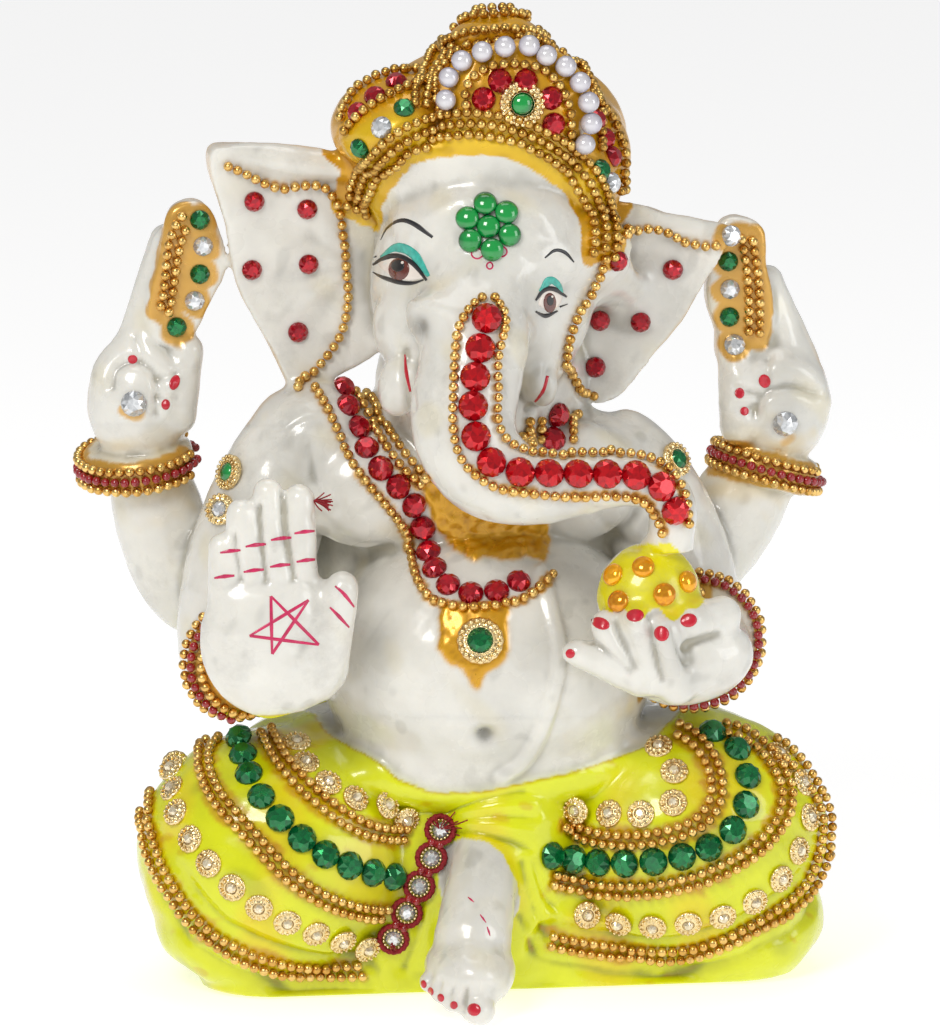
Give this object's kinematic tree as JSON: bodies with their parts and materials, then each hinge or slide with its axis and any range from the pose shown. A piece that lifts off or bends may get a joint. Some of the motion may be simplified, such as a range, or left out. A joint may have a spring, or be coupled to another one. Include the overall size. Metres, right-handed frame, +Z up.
{
  "type": "ganesha idol",
  "caption": "Seated elephant-headed devotional figure with raised palm and sweet, decorated with bead chains, stones and pearls.",
  "frame": {"origin": "on the resting face, under the middle of the torso", "axes": "+Z up, the idol faces -Y, +X to the idol's left-hand side"},
  "size_m": [0.1529, 0.0985, 0.1955],
  "materials": {
    "painted_resin": "glossy marble-dust resin, hand painted yellow and gold in places",
    "gold_bead_metal": "satin gold-plated ball chain",
    "gold_setting_metal": "polished stamped setting",
    "pearl_coating": "pearlescent",
    "red_bead_plastic": "gloss",
    "red_thread": "crocheted thread",
    "red_glass": "faceted, foil backed",
    "green_glass": "faceted, foil backed",
    "clear_glass": "faceted, foil backed",
    "amber_glass": "faceted, foil backed"
  },
  "bodies": {
    "root": {"anklet_lace_loops": "red_thread", "anklet_rhinestones": "clear_glass", "blade_clear_stones": "clear_glass", "blade_green_stones": "green_glass", "casting": "painted_resin", "crown_band_beads": "gold_bead_metal", "crown_brooch_cup": "gold_setting_metal", "crown_brooch_stone": "green_glass", "crown_crest_beads": "gold_bead_metal", "crown_crest_pearls": "pearl_coating", "crown_crest_red_stones": "red_glass", "crown_knob_beads": "gold_bead_metal", "crown_left_lobe_beads": "gold_bead_metal", "crown_lobe_clear_stones": "clear_glass", "crown_lobe_green_stones": "green_glass", "crown_lobe_red_stones": "red_glass", "crown_right_lobe_beads": "gold_bead_metal", "crown_side_beads": "gold_bead_metal", "forehead_green_stones": "green_glass", "front_left_bangle_gold_beads": "gold_bead_metal", "front_left_bangle_red_beads": "red_bead_plastic", "front_right_bangle_gold_beads": "gold_bead_metal", "front_right_bangle_red_beads": "red_bead_plastic", "left_armlet_cup": "gold_setting_metal", "left_armlet_stone": "green_glass", "left_blade_beads": "gold_bead_metal", "left_ear_bead_chain": "gold_bead_metal", "left_ear_red_stones": "red_glass", "left_leg_flower_cup": "gold_setting_metal", "left_leg_flower_stone": "clear_glass", "left_leg_green_stones": "green_glass", "left_leg_inner_chain": "gold_bead_metal", "left_leg_middle_chain": "gold_bead_metal", "left_leg_outer_chain": "gold_bead_metal", "necklace_inner_chain": "gold_bead_metal", "necklace_outer_chain": "gold_bead_metal", "necklace_red_stones": "red_glass", "pendant_cup": "gold_setting_metal", "pendant_stone": "green_glass", "rear_left_bangle_gold_beads": "gold_bead_metal", "rear_left_bangle_red_beads": "red_bead_plastic", "rear_palm_clear_stones": "clear_glass", "rear_right_bangle_gold_beads": "gold_bead_metal", "rear_right_bangle_red_beads": "red_bead_plastic", "right_armlet_brooch_cup": "gold_setting_metal", "right_armlet_brooch_stone": "green_glass", "right_armlet_rhinestone_cup": "gold_setting_metal", "right_armlet_rhinestone_stone": "clear_glass", "right_blade_beads": "gold_bead_metal", "right_ear_bead_chain": "gold_bead_metal", "right_ear_red_stones": "red_glass", "right_leg_flower_cup": "gold_setting_metal", "right_leg_flower_stone": "clear_glass", "right_leg_green_stones": "green_glass", "right_leg_inner_chain": "gold_bead_metal", "right_leg_middle_chain": "gold_bead_metal", "right_leg_outer_chain": "gold_bead_metal", "sweet_amber_stones": "amber_glass", "trunk_bead_chains": "gold_bead_metal", "trunk_red_stones": "red_glass"}
  },
  "joints": []
}
